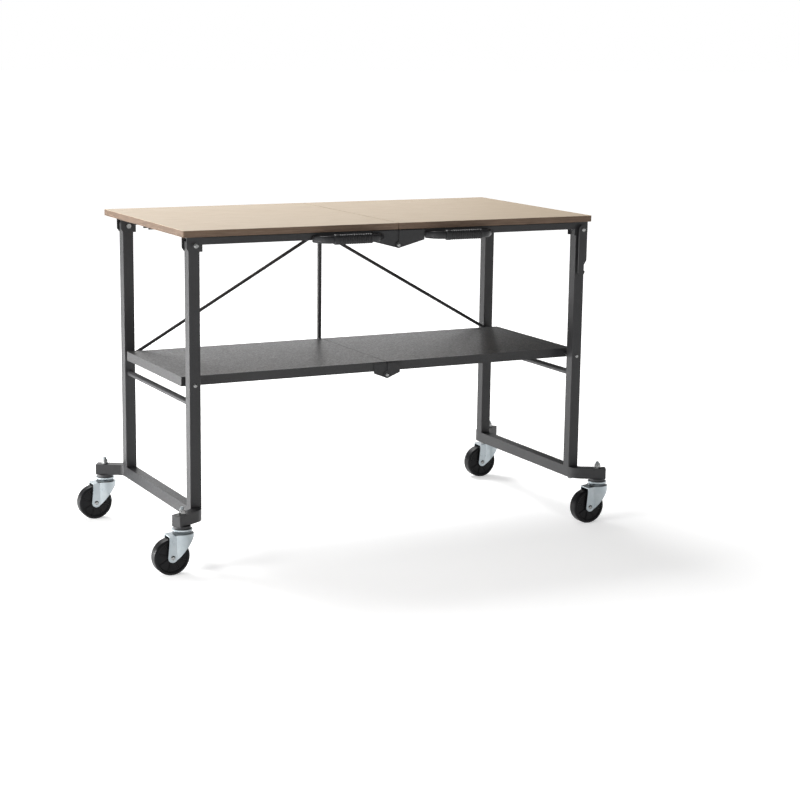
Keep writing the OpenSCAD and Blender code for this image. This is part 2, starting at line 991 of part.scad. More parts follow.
leg(left, front);  // front_leg_left
leg(left, rear);  // rear_leg_left
base_rail(left);  // base_rail_left
cross_tube(left);  // cross_tube_left
plugs_and_spacers(left);  // plugs_and_spacers_left
caster_stems(left);  // caster_stems_left
caster_nuts(left);  // caster_nuts_left
foot_bolts(left);  // foot_bolts_left
pivot_bolts(left);  // pivot_bolts_left
leg(right, front);  // front_leg_right
leg(right, rear);  // rear_leg_right
base_rail(right);  // base_rail_right
cross_tube(right);  // cross_tube_right
plugs_and_spacers(right);  // plugs_and_spacers_right
caster_stems(right);  // caster_stems_right
caster_nuts(right);  // caster_nuts_right
foot_bolts(right);  // foot_bolts_right
pivot_bolts(right);  // pivot_bolts_right
panel(left);  // panel_left
long_rail(left, front);  // front_rail_left
long_rail(left, rear);  // rear_rail_left
cross_rails(left);  // cross_rails_left
leg_brackets(left);  // leg_brackets_left
hinge_plates(left);  // hinge_plates_left
handle_bar(left);  // handle_bar_left
handle_grip(left);  // handle_grip_left
panel_screws(left);  // panel_screws_left
top_hinge_bolts();
panel(right);  // panel_right
long_rail(right, front);  // front_rail_right
long_rail(right, rear);  // rear_rail_right
cross_rails(right);  // cross_rails_right
leg_brackets(right);  // leg_brackets_right
hinge_plates(right);  // hinge_plates_right
handle_bar(right);  // handle_bar_right
handle_grip(right);  // handle_grip_right
panel_screws(right);  // panel_screws_right
shelf(left);  // shelf_left
shelf_hinge_plates(left);  // shelf_hinge_plates_left
shelf_hinge_bolts();
shelf(right);  // shelf_right
shelf_hinge_plates(right);  // shelf_hinge_plates_right
centre_rod();
brace_collar();
brace(left);  // brace_left
brace(right);  // brace_right
latch_hook();
fork(left, front);  // fork_front_left
axle(left, front);  // axle_front_left
wheel(left, front);  // wheel_front_left
fork(left, rear);  // fork_rear_left
axle(left, rear);  // axle_rear_left
wheel(left, rear);  // wheel_rear_left
fork(right, front);  // fork_front_right
axle(right, front);  // axle_front_right
wheel(right, front);  // wheel_front_right
fork(right, rear);  // fork_rear_right
axle(right, rear);  // axle_rear_right
wheel(right, rear);  // wheel_rear_right
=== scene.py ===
import math

import bmesh
import bpy
from mathutils import Matrix, Vector


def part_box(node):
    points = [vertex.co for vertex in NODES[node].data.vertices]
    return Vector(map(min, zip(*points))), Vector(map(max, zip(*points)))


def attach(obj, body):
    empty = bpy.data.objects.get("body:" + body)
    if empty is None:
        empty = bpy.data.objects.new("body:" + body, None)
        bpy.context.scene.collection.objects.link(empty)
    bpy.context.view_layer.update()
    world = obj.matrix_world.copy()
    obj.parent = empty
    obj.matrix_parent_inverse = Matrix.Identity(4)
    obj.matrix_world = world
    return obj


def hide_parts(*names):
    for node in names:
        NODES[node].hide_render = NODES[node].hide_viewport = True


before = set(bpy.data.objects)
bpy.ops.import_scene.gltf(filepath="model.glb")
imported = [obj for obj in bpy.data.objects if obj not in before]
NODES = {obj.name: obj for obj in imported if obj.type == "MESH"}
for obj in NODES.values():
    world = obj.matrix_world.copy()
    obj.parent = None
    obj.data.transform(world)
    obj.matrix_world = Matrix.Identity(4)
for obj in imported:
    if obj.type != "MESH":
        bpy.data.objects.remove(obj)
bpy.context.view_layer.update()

SCENE = bpy.context.scene
SIDES = ("left", "right")
ENDS = ("front", "rear")
CORNERS = [f"{end}_{side}" for end in ENDS for side in SIDES]
MM = 0.001
WHITE = (1, 1, 1, 1)

# ---------------------------------------------------------------- camera, light and floor

# The camera's place and its far clipping are in metres, its lens and sensor in millimetres.
CAMERA_PLACE = (-2.311, -4.830, 1.421)
CAMERA_YAW = math.radians(27.33)
CAMERA_DIP = math.radians(11.16)
CAMERA_ROLL = math.radians(0.77)
CAMERA_LENS = 83.4
CAMERA_SENSOR = 36.0
CAMERA_SIGHT = 200

# What the lights aim at.
TABLE_MIDDLE = (0, 0, 0.5)
LEFT_CASTERS = (-0.6, -0.2, 0.14)

# Strength of the surrounding light at the left and at the right, and the X of the directions
# between which it turns from the one into the other.
WORLD_LEFT = 0.34
WORLD_RIGHT = 0.12
WORLD_LEFT_X = -1.0
WORLD_RIGHT_X = 0.8

# The floor glows more with distance, so that it fades into the white background.
FLOOR_REACH = 60
FLOOR_CELLS = 24
FLOOR_DROP = 0.4 * MM
FLOOR_TONE = (0.90, 0.90, 0.90)
FLOOR_GLOW_NEAR = 0.47
FLOOR_GLOW_FAR = 0.85
FLOOR_NEAR = 2.0
FLOOR_FAR = 7.0


def add_node(tree, kind, **inputs):
    """Adds a shader node and sets its inputs: From_Min stands for the input From Min."""
    made = tree.nodes.new(kind)
    for key, value in inputs.items():
        made.inputs[key.replace("_", " ")].default_value = value
    return made


def add_camera():
    data = bpy.data.cameras.new("camera")
    data.lens = CAMERA_LENS
    data.sensor_width = CAMERA_SENSOR
    data.clip_end = CAMERA_SIGHT
    camera = bpy.data.objects.new("camera", data)
    turn = (
        Matrix.Rotation(-CAMERA_YAW, 4, "Z")
        @ Matrix.Rotation(math.pi / 2 - CAMERA_DIP, 4, "X")
        @ Matrix.Rotation(CAMERA_ROLL, 4, "Z")
    )
    camera.matrix_world = Matrix.Translation(CAMERA_PLACE) @ turn
    SCENE.collection.objects.link(camera)
    SCENE.camera = camera


def add_area_light(name, place, size, watts, target=TABLE_MIDDLE, mirrored=True):
    """Soft rectangular light. One that isn't mirrored makes no highlights."""
    data = bpy.data.lights.new(name, "AREA")
    data.shape = "RECTANGLE"
    data.size, data.size_y = size
    data.energy = watts
    light = bpy.data.objects.new(name, data)
    light.location = place
    aim = Vector(target) - Vector(place)
    light.rotation_euler = aim.to_track_quat("-Z", "Y").to_euler()
    light.visible_camera = False
    light.visible_glossy = mirrored
    SCENE.collection.objects.link(light)


def add_lights():
    add_area_light("key", place=(-0.85, 3.8, 5.1), size=(3.2, 3.0), watts=385)
    add_area_light("side", place=(-4.4, -0.9, 1.5), size=(1.8, 2.4), watts=150, mirrored=False)
    add_area_light("back", place=(1.25, 3.8, 1.4), size=(2.4, 1.4), watts=15)
    add_area_light("rim", place=(-2.2, 0.9, 0.2), size=(0.8, 0.4), watts=34, target=LEFT_CASTERS)


def add_world():
    """The camera sees plain white, and the light on the table weakens from left to right."""
    world = bpy.data.worlds.new("studio")
    SCENE.world = world
    world.use_nodes = True
    tree = world.node_tree
    tree.nodes.clear()
    direction = add_node(tree, "ShaderNodeTexCoord")
    split = add_node(tree, "ShaderNodeSeparateXYZ")
    across = add_node(
        tree,
        "ShaderNodeMapRange",
        From_Min=WORLD_LEFT_X,
        From_Max=WORLD_RIGHT_X,
        To_Min=WORLD_LEFT,
        To_Max=WORLD_RIGHT,
    )
    lighting = add_node(tree, "ShaderNodeBackground", Color=WHITE)
    seen = add_node(tree, "ShaderNodeBackground", Color=WHITE, Strength=1.0)
    path = add_node(tree, "ShaderNodeLightPath")
    mix = add_node(tree, "ShaderNodeMixShader")
    out = add_node(tree, "ShaderNodeOutputWorld")
    tree.links.new(direction.outputs["Generated"], split.inputs[0])
    tree.links.new(split.outputs["X"], across.inputs["Value"])
    tree.links.new(across.outputs["Result"], lighting.inputs["Strength"])
    tree.links.new(path.outputs["Is Camera Ray"], mix.inputs["Fac"])
    tree.links.new(lighting.outputs[0], mix.inputs[1])
    tree.links.new(seen.outputs[0], mix.inputs[2])
    tree.links.new(mix.outputs[0], out.inputs["Surface"])


def add_floor():
    bm = bmesh.new()
    bmesh.ops.create_grid(bm, x_segments=FLOOR_CELLS, y_segments=FLOOR_CELLS, size=FLOOR_REACH)
    floor = new_object("floor", bm)
    floor.location.z = -FLOOR_DROP
    made = Material("pale_floor")
    made.paint(base=FLOOR_TONE, roughness=0.8, Specular_IOR_Level=0.2, Emission_Color=WHITE)
    distance = made.tree.nodes.new("ShaderNodeVectorMath")
    distance.operation = "LENGTH"
    made.link(made.coordinates, distance.inputs[0])
    glow = made.span(
        distance.outputs["Value"], FLOOR_GLOW_NEAR, FLOOR_GLOW_FAR, start=FLOOR_NEAR, stop=FLOOR_FAR
    )
    made.link(glow, made.shader.inputs["Emission Strength"])
    made.give(floor)


# ---------------------------------------------------------------- materials

COAT_TONE = (0.023, 0.023, 0.0242)
SHELF_TONE = (0.028, 0.028, 0.029)
ZINC_TONES = ((0.34, 0.385, 0.41), (0.44, 0.48, 0.50))
STEEL_TONES = ((0.22, 0.225, 0.225), (0.36, 0.365, 0.36))
NYLON_TONE = (0.0022, 0.0024, 0.0031)
HANDLE_TONE = (0.010, 0.010, 0.0115)
GRIP_TONE = (0.0085, 0.0085, 0.0095)
CAP_TONE = (0.034, 0.034, 0.036)
BIRCH_DARK = (0.470, 0.374, 0.272)
BIRCH_MIDDLE = (0.552, 0.449, 0.335)
BIRCH_LIGHT = (0.608, 0.504, 0.386)
BIRCH_CLOUD = (0.572, 0.475, 0.361)
BIRCH_PORE = (0.36, 0.27, 0.19)
BAND_DARK = (0.112, 0.074, 0.050)
BAND_LIGHT = (0.192, 0.130, 0.090)
FIBRE_DARK = (0.20, 0.125, 0.075)
FIBRE_LIGHT = (0.33, 0.225, 0.14)
FIBRE_CLOUD = (0.25, 0.17, 0.11)


def shade(tone, share):
    return tuple(share * c for c in tone)


class Material:
    """A procedural material: one Principled shader fed by noise in the object's own space."""

    def __init__(self, name):
        self.data = bpy.data.materials.new(name)
        self.data.use_nodes = True
        self.tree = self.data.node_tree
        self.shader = self.tree.nodes["Principled BSDF"]
        self.coordinates = self.tree.nodes.new("ShaderNodeTexCoord").outputs["Object"]
        self.relief = None

    def link(self, a, b):
        self.tree.links.new(a, b)

    def noise(self, scale, detail, roughness=0.55, stretch=(1, 1, 1), distortion=0.0):
        """Noise of about scale cells to the metre, times stretch along each axis."""
        mapping = add_node(self.tree, "ShaderNodeMapping", Scale=stretch)
        made = add_node(
            self.tree,
            "ShaderNodeTexNoise",
            Scale=scale,
            Detail=detail,
            Roughness=roughness,
            Distortion=distortion,
        )
        self.link(self.coordinates, mapping.inputs["Vector"])
        self.link(mapping.outputs["Vector"], made.inputs["Vector"])
        return made.outputs["Fac"]

    def ramp(self, source, *stops):
        """Colours by source: each stop is the value where it lies, and its colour."""
        made = self.tree.nodes.new("ShaderNodeValToRGB")
        elements = made.color_ramp.elements
        while len(elements) < len(stops):
            elements.new(0.5)
        for element, (at, colour) in zip(elements, stops):
            element.position = at
            element.color = (*colour, 1)
        self.link(source, made.inputs["Fac"])
        return made.outputs["Color"]

    def span(self, source, low, high, start=0.3, stop=0.7):
        """Turns source values from start to stop into values from low to high."""
        made = add_node(
            self.tree, "ShaderNodeMapRange", From_Min=start, From_Max=stop, To_Min=low, To_Max=high
        )
        self.link(source, made.inputs["Value"])
        return made.outputs["Result"]

    def cover(self, share, under, over):
        """Lays the plain colour over on the colours under, as densely as share says."""
        made = self.tree.nodes.new("ShaderNodeMix")
        made.data_type = "RGBA"
        made.inputs["B"].default_value = (*over, 1)
        self.link(share, made.inputs["Factor"])
        self.link(under, made.inputs["A"])
        return made.outputs["Result"]

    def paint(self, base, roughness, **plain):
        """Sets the shader's colour and roughness, plain or linked, and other plain inputs."""
        for key, value in (("Base Color", base), ("Roughness", roughness)):
            if isinstance(value, bpy.types.NodeSocket):
                self.link(value, self.shader.inputs[key])
            elif isinstance(value, tuple):
                self.shader.inputs[key].default_value = (*value, 1)
            else:
                self.shader.inputs[key].default_value = value
        for key, value in plain.items():
            self.shader.inputs[key.replace("_", " ")].default_value = value

    def bump(self, source, depth, strength):
        """Adds relief of the given depth in metres, on top of any already there."""
        made = add_node(self.tree, "ShaderNodeBump", Strength=strength, Distance=depth)
        self.link(source, made.inputs["Height"])
        if self.relief:
            self.link(self.relief, made.inputs["Normal"])
        self.relief = made.outputs["Normal"]
        self.link(self.relief, self.shader.inputs["Normal"])

    def give(self, piece):
        piece.data.materials.clear()
        piece.data.materials.append(self.data)


def powder_coat(name, tone, grain, depth):
    """Fine-textured powder coat: pebbled relief, faint clouding and lighter flecks."""
    made = Material(name)
    cloud = made.noise(scale=5, detail=3)
    pebble = made.noise(scale=grain, detail=2, roughness=0.6)
    fleck = made.noise(scale=grain * 0.4, detail=3, roughness=0.75)
    swell = made.noise(scale=grain * 0.22, detail=2)
    speck = shade(tone, 1.9)
    clouded = made.ramp(cloud, (0.3, shade(tone, 0.80)), (0.7, shade(tone, 1.22)))
    flecked = made.cover(made.span(fleck, low=0, high=0.5, start=0.50, stop=0.66), clouded, speck)
    made.paint(
        base=made.cover(made.span(pebble, low=0, high=0.35, start=0.52, stop=0.72), flecked, speck),
        roughness=made.span(fleck, low=0.31, high=0.51, start=0.36, stop=0.64),
        Specular_IOR_Level=0.4,
    )
    made.bump(pebble, depth=depth, strength=1.0)
    made.bump(swell, depth=depth * 1.6, strength=0.5)
    return made


def worktop_material():
    """Printed birch-like surface: long pale streaks with fine pores and slow clouding."""
    made = Material("worktop_surface")
    streak = made.noise(scale=9, detail=8, roughness=0.62, stretch=(1.6, 24, 1), distortion=0.35)
    pores = made.noise(scale=60, detail=4, roughness=0.7, stretch=(0.8, 22, 1))
    cloud = made.noise(scale=2.4, detail=4, roughness=0.6)
    streaks = made.ramp(streak, (0.28, BIRCH_DARK), (0.48, BIRCH_MIDDLE), (0.72, BIRCH_LIGHT))
    clouded = made.cover(made.span(cloud, low=0, high=0.5), streaks, BIRCH_CLOUD)
    made.paint(
        base=made.cover(made.span(pores, low=0.30, high=0, start=0.30, stop=0.42), clouded, BIRCH_PORE),
        roughness=made.span(streak, low=0.58, high=0.46),
        Specular_IOR_Level=0.2,
    )
    made.bump(pores, depth=0.06 * MM, strength=0.6)
    made.bump(streak, depth=0.08 * MM, strength=0.4)
    return made


def edge_band_material():
    """Edge banding: lengthwise brown streaks, the same along every edge."""
    made = Material("edge_band")
    streak = made.noise(scale=14, detail=6, roughness=0.6, stretch=(1.2, 1.2, 22))
    fleck = made.noise(scale=120, detail=3, roughness=0.7, stretch=(0.5, 0.5, 6))
    streaks = made.ramp(streak, (0.3, BAND_DARK), (0.7, BAND_LIGHT))
    flecks = made.span(fleck, low=0.35, high=0, start=0.3, stop=0.5)
    made.paint(
        base=made.cover(flecks, streaks, shade(BAND_DARK, 0.62)),
        roughness=made.span(streak, low=0.48, high=0.6),
        Specular_IOR_Level=0.3,
    )
    made.bump(fleck, depth=0.08 * MM, strength=0.5)
    return made


def fibreboard_material():
    """Bare board: brown fibres with slow clouding."""
    made = Material("fibreboard")
    fibre = made.noise(scale=260, detail=5, roughness=0.7)
    cloud = made.noise(scale=4, detail=3)
    fibres = made.ramp(fibre, (0.3, FIBRE_DARK), (0.7, FIBRE_LIGHT))
    made.paint(base=made.cover(made.span(cloud, low=0, high=0.4), fibres, FIBRE_CLOUD), roughness=0.85)
    made.bump(fibre, depth=0.12 * MM, strength=0.6)
    return made


def plated_material(name, tones, smoothest, roughest):
    """Bright plating: a cool grey metal with soft clouding and fine brushing."""
    made = Material(name)
    cloud = made.noise(scale=45, detail=3, roughness=0.6)
    brushed = made.noise(scale=420, detail=4, roughness=0.7, stretch=(1, 1, 0.12))
    dark, light = tones
    made.paint(
        base=made.ramp(cloud, (0.25, dark), (0.75, light)),
        roughness=made.span(cloud, low=smoothest, high=roughest),
        Metallic=0.94,
    )
    made.bump(brushed, depth=0.02 * MM, strength=0.5)
    return made


def moulded_material(name, tone, roughness, grain=420, depth=0.03 * MM, gloss=0.5):
    """Moulded plastic: even tone with a fine spark-eroded texture."""
    made = Material(name)
    texture = made.noise(scale=grain, detail=3, roughness=0.65)
    cloud = made.noise(scale=16, detail=3)
    made.paint(
        base=made.ramp(cloud, (0.3, shade(tone, 0.75)), (0.7, shade(tone, 1.35))),
        roughness=made.span(texture, low=roughness - 0.06, high=roughness + 0.10),
        Specular_IOR_Level=gloss,
    )
    made.bump(texture, depth=depth, strength=0.7)
    return made


# ---------------------------------------------------------------- mesh making


def new_object(name, bm):
    bmesh.ops.recalc_face_normals(bm, faces=bm.faces)
    data = bpy.data.meshes.new(name)
    bm.to_mesh(data)
    bm.free()
    made = bpy.data.objects.new(name, data)
    SCENE.collection.objects.link(made)
    return made


def smooth(piece, angle):
    """Shades a piece as smooth, apart from edges sharper than the angle in degrees."""
    for face in piece.data.polygons:
        face.use_smooth = True
    piece.data.set_sharp_from_angle(angle=math.radians(angle))


def bevel(piece, width, segments=2, angle=35):
    """Rounds the edges of a piece that are sharper than the angle in degrees."""
    made = piece.modifiers.new("edge_round", "BEVEL")
    made.width = width
    made.segments = segments
    made.limit_method = "ANGLE"
    made.angle_limit = math.radians(angle)
    made.use_clamp_overlap = True
    made.harden_normals = True


def finish_piece(piece, material, body, slot, *replaced):
    material.give(piece)
    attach(piece, body)
    if replaced:
        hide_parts(*replaced)


def blend(a, b, share):
    return a + (b - a) * share


def arc(cx, cy, radius, start, stop, steps):
    points = []
    for i in range(steps + 1):
        a = math.radians(start + (stop - start) * i / steps)
        points.append((cx + radius * math.cos(a), cy + radius * math.sin(a)))
    return points


def superellipse(width, height, power, count):
    """Points of a rounded rectangle: 2 is an ellipse, and a larger power is squarer."""
    points = []
    for i in range(count):
        a = 2 * math.pi * i / count
        c, s = math.cos(a), math.sin(a)
        x = math.copysign(abs(c) ** (2 / power), c) * width / 2
        y = math.copysign(abs(s) ** (2 / power), s) * height / 2
        points.append((x, y))
    return points


def loft(bm, rings, closed=False):
    """Joins rings of points, all of the same count, into one skin.

    A closed skin goes on from its last ring to its first. Any other is capped at both ends.
    """
    made = [[bm.verts.new(point) for point in ring] for ring in rings]
    following = made[1:] + made[:1] if closed else made[1:]
    count = len(rings[0])
    for low, high in zip(made, following):
        for i in range(count):
            j = (i + 1) % count
            bm.faces.new((low[i], low[j], high[j], high[i]))
    if not closed:
        bm.faces.new(list(reversed(made[0])))
        bm.faces.new(made[-1])


def turned(bm, profile, centre, axis, segments):
    """Turns a closed profile of (radius, distance along the axis) about the axis."""
    rows = []
    for i in range(segments):
        a = 2 * math.pi * i / segments
        row = []
        for r, along in profile:
            if axis == "Y":
                offset = Vector((r * math.cos(a), along, r * math.sin(a)))
            else:
                offset = Vector((r * math.cos(a), r * math.sin(a), along))
            row.append(bm.verts.new(Vector(centre) + offset))
        rows.append(row)
    count = len(profile)
    for i in range(segments):
        low, high = rows[i], rows[(i + 1) % segments]
        for j in range(count):
            k = (j + 1) % count
            bm.faces.new((low[j], low[k], high[k], high[j]))


# ---------------------------------------------------------------- worktop

# Corners of the panels in plan, and the layers of a panel. ARRIS_TURN is the share of an arris
# at which its slope changes.
OUTER_CORNER = 4 * MM
SEAM_CORNER = 0.6 * MM
SMALLEST_CORNER = 0.2 * MM
CORNER_STEPS = 6
SURFACE_THICK = 0.7 * MM
SURFACE_ARRIS = 0.25 * MM
CORE_ARRIS = 0.1 * MM
ARRIS_TURN = 0.3
BAND_THICK = 1.0 * MM
BAND_FOOT = 0.2 * MM
BAND_ROUND = 0.4 * MM
SEAM_BAND = 0.8 * MM


def rounded_outline(low, high, radii):
    """Plan of a rectangle with round corners, whose radii start at its +X +Y corner."""
    corners = (
        (high.x, high.y, 0, radii[0]),
        (low.x, high.y, 90, radii[1]),
        (low.x, low.y, 180, radii[2]),
        (high.x, low.y, 270, radii[3]),
    )
    points = []
    for x, y, start, radius in corners:
        cx = x - radius if x == high.x else x + radius
        cy = y - radius if y == high.y else y + radius
        points += arc(cx, cy, radius, start, start + 90, CORNER_STEPS)
    return points


def slab(name, outline, low_z, high_z, arris):
    """A board with its plan outline, whose upper and lower edges are eased by arris."""
    middle = Vector((sum(p[0] for p in outline), sum(p[1] for p in outline))) / len(outline)

    def ring(inset, z):
        points = []
        for x, y in outline:
            dx = math.copysign(inset, middle.x - x)
            dy = math.copysign(inset, middle.y - y)
            points.append((x + dx, y + dy, z))
        return points

    turn = arris * ARRIS_TURN
    bm = bmesh.new()
    loft(bm, [
        ring(arris, low_z),
        ring(turn, low_z + turn),
        ring(0, low_z + arris),
        ring(0, high_z - arris),
        ring(turn, high_z - turn),
        ring(arris, high_z),
    ])
    return new_object(name, bm)


def make_panel(side, surface, band, board):
    """Fibreboard core, banding round its edge and the printed surface on top.

    The surface stops short of the seam between the panels, so the banding shows there.
    """
    node = f"panel_{side}"
    body = f"{side}_top"
    low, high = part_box(node)
    board_top = high.z - SURFACE_THICK
    if side == "left":
        radii = (SEAM_CORNER, OUTER_CORNER, OUTER_CORNER, SEAM_CORNER)
        surface_low, surface_high = low, high - Vector((SEAM_BAND, 0, 0))
    else:
        radii = (OUTER_CORNER, SEAM_CORNER, SEAM_CORNER, OUTER_CORNER)
        surface_low, surface_high = low + Vector((SEAM_BAND, 0, 0)), high

    plan = rounded_outline(surface_low, surface_high, radii)
    top = slab(f"worktop_surface_{side}", plan, board_top, high.z, SURFACE_ARRIS)
    finish_piece(top, surface, body, "worktop", node)

    inset = Vector((BAND_THICK, BAND_THICK, 0))
    inner_radii = tuple(max(radius - BAND_THICK, SMALLEST_CORNER) for radius in radii)
    inside = rounded_outline(low + inset, high - inset, inner_radii)
    core = slab(f"worktop_core_{side}", inside, low.z, board_top, CORE_ARRIS)
    finish_piece(core, board, body, "worktop")

    outside = rounded_outline(low, high, radii)
    foot = low.z + BAND_FOOT
    section = ((outside, foot), (outside, board_top), (inside, board_top), (inside, foot))
    bm = bmesh.new()
    loft(bm, [[(x, y, z) for x, y in outline] for outline, z in section], closed=True)
    strip = new_object(f"edge_band_{side}", bm)
    bevel(strip, BAND_ROUND)
    finish_piece(strip, band, body, "worktop")


# ---------------------------------------------------------------- handles

# The carrying handle's bar, and its flared ends, which lie against the front rail.
BAR_DEEP, BAR_TALL, BAR_SQUARENESS = 12.5 * MM, 21 * MM, 3.2
FOOT_DEEP, FOOT_TALL, FOOT_SQUARENESS = 21.5 * MM, 16 * MM, 2.3
FOOT_SINK = 1.5 * MM
FOOT_INSET = 6 * MM
BAR_RINGS = 72
BAR_SIDES = 28

# Where the bar starts to bend and to flare, as shares of the way from its middle to its end,
# and the powers that shape its bend and its flare.
BEND_START = 0.62
BEND_POWER = 1.6
BACK_POWER = 1.15
FLARE_START = 0.80
FLARE_POWER = 1.5
TANGENT_STEP = 0.01

# Rings of the grip: how far along the collar, or along one rib, each one lies, and how many
# millimetres slimmer it is than the grip at its thickest.
GRIP_COLLAR = 16 * MM
COLLAR_RINGS = ((0, 6), (0.03, 2.6), (0.12, 0.6), (0.3, 0), (0.7, 0), (0.88, 0.6), (0.97, 2.2), (1, 4.2))
RIB_RINGS = ((0.06, 4.2), (0.16, 2.0), (0.34, 0.9), (0.55, 0.8), (0.76, 1.4), (0.90, 2.6), (0.98, 4.2))
END_SLIMMER = 7
GRIP_RIBS = 14
GRIP_SQUARENESS = 3.0
GRIP_SIDES = 40

# The screws through the handle's ends, each a low dome on a short body.
SCREW_R = 4.2 * MM
SCREW_DOME = 2.2 * MM
SCREW_DOME_TURNS = (0.3, 0.7, 1.1, 1.5)
SCREW_EDGE = 0.6 * MM
SCREW_LENGTH = 6 * MM
SCREW_TAPER = 0.9
SCREW_AXIS = 0.01 * MM
SCREW_SIDES = 24
SCREW_INSET = 1 * MM
SCREW_FORWARD = 9 * MM


def handle_foot_x(side):
    """How far the ends of a handle's centre line lie from its middle."""
    low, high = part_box(f"handle_bar_{side}")
    return (high.x - low.x) / 2 - FOOT_INSET


def make_handle_bar(side, plastic):
    """Bowed bar: straight behind the grip, then bent back to its two flared ends."""
    low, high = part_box(f"handle_bar_{side}")
    grip_low, grip_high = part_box(f"handle_grip_{side}")
    middle = (low + high) / 2
    root_y = high.y
    grip_y = (grip_low.y + grip_high.y) / 2
    foot_x = handle_foot_x(side)
    bend = 1 - BEND_START

    def place(t):
        """Centre line: t runs from -1 at the left end to 1 at the right one."""
        turn = max((abs(t) - BEND_START) / bend, 0)
        out = min(abs(t), BEND_START) + bend * (1 - (1 - turn) ** BEND_POWER)
        back = (turn * turn * (3 - 2 * turn)) ** BACK_POWER
        x = middle.x + math.copysign(foot_x * out, t)
        return Vector((x, blend(grip_y, root_y, back), middle.z))

    rings = []
    for i in range(BAR_RINGS + 1):
        t = -1 + 2 * i / BAR_RINGS
        here = place(t)
        ahead, behind = place(min(t + TANGENT_STEP, 1)), place(max(t - TANGENT_STEP, -1))
        across = (ahead - behind).normalized().cross(Vector((0, 0, 1)))
        flare = max((abs(t) - FLARE_START) / (1 - FLARE_START), 0) ** FLARE_POWER
        outline = superellipse(
            blend(BAR_DEEP, FOOT_DEEP, flare),
            blend(BAR_TALL, FOOT_TALL, flare),
            blend(BAR_SQUARENESS, FOOT_SQUARENESS, flare),
            BAR_SIDES,
        )
        ring = []
        for a, b in outline:
            point = here + across * a + Vector((0, 0, b - FOOT_SINK * flare))
            point.y = min(point.y, root_y)
            ring.append(point)
        rings.append(ring)
    bm = bmesh.new()
    loft(bm, rings)
    bar = new_object(f"handle_{side}", bm)
    smooth(bar, angle=60)
    finish_piece(bar, plastic, f"{side}_top", "handle", f"handle_bar_{side}")


def make_handle_grip(side, rubber):
    """Ribbed grip round the bar, with a smooth collar at its left end."""
    low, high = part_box(f"handle_grip_{side}")
    middle = (low + high) / 2
    pitch = (high.x - low.x - GRIP_COLLAR) / GRIP_RIBS
    stations = [(low.x + share * GRIP_COLLAR, slimmer) for share, slimmer in COLLAR_RINGS]
    for i in range(GRIP_RIBS):
        start = low.x + GRIP_COLLAR + i * pitch
        stations += [(start + share * pitch, slimmer) for share, slimmer in RIB_RINGS]
    stations.append((high.x, END_SLIMMER))
    rings = []
    for x, slimmer in stations:
        deep = high.y - low.y - slimmer * MM
        tall = high.z - low.z - slimmer * MM
        outline = superellipse(deep, tall, GRIP_SQUARENESS, GRIP_SIDES)
        rings.append([(x, middle.y + a, middle.z + b) for a, b in outline])
    bm = bmesh.new()
    loft(bm, rings)
    grip = new_object(f"grip_{side}", bm)
    smooth(grip, angle=40)
    finish_piece(grip, rubber, f"{side}_top", "grip", f"handle_grip_{side}")


def make_handle_screws(side, steel):
    """A domed screw in each end of the handle."""
    low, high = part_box(f"handle_bar_{side}")
    middle = (low + high) / 2
    profile = [(SCREW_AXIS, SCREW_LENGTH), (SCREW_R * SCREW_TAPER, SCREW_LENGTH), (SCREW_R, SCREW_EDGE)]
    profile += [(SCREW_R * math.cos(a), -SCREW_DOME * math.sin(a)) for a in SCREW_DOME_TURNS]
    profile.append((SCREW_AXIS, -SCREW_DOME))
    for index, sign in enumerate((-1, 1)):
        x = middle.x + sign * (handle_foot_x(side) - SCREW_INSET)
        bm = bmesh.new()
        turned(bm, profile, (x, high.y - SCREW_FORWARD, middle.z), "Y", SCREW_SIDES)
        head = new_object(f"handle_screw_{side}_{index}", bm)
        smooth(head, angle=50)
        finish_piece(head, steel, f"{side}_top", "zinc")


# ---------------------------------------------------------------- caster wheels

# The wheel's section from its bore out to its tread, and the ribs in its web. The shoulder's
# start and stop are angles in degrees, and the tread's flat is a share of the rim's width.
BORE_R = 4.3 * MM
BORE_EDGE = 0.6 * MM
HUB_R = 12 * MM
HUB_EDGE = 1 * MM
HUB_PROUD = 2 * MM
HUB_DRAFT = 0.4 * MM
HUB_FILLET = 1.0 * MM
WEB_DEEP = 3.0 * MM
FILLET_TALL = 0.8 * MM
RIM_THICK = 8.5 * MM
RIM_DRAFT = 0.3 * MM
RIM_FILLET = 0.9 * MM
RIM_EDGE = 0.7 * MM
TREAD_THICK = 5.2 * MM
GROOVE_SLOPE = 0.6 * MM
GROOVE_WIDE = 1.0 * MM
GROOVE_DEEP = 0.5 * MM
SHOULDER_R = 4 * MM
SHOULDER_DEEP = 0.6 * MM
SHOULDER_START = 80
SHOULDER_STOP = 8
SHOULDER_STEPS = 6
TREAD_FLAT = 0.35
WHEEL_SIDES = 96
WHEEL_RIBS = 8
RIB_TURN = 0.35
RIB_THICK = 1.8 * MM
RIB_ROOT = 0.7 * MM
RIB_DEEP = 0.8 * MM


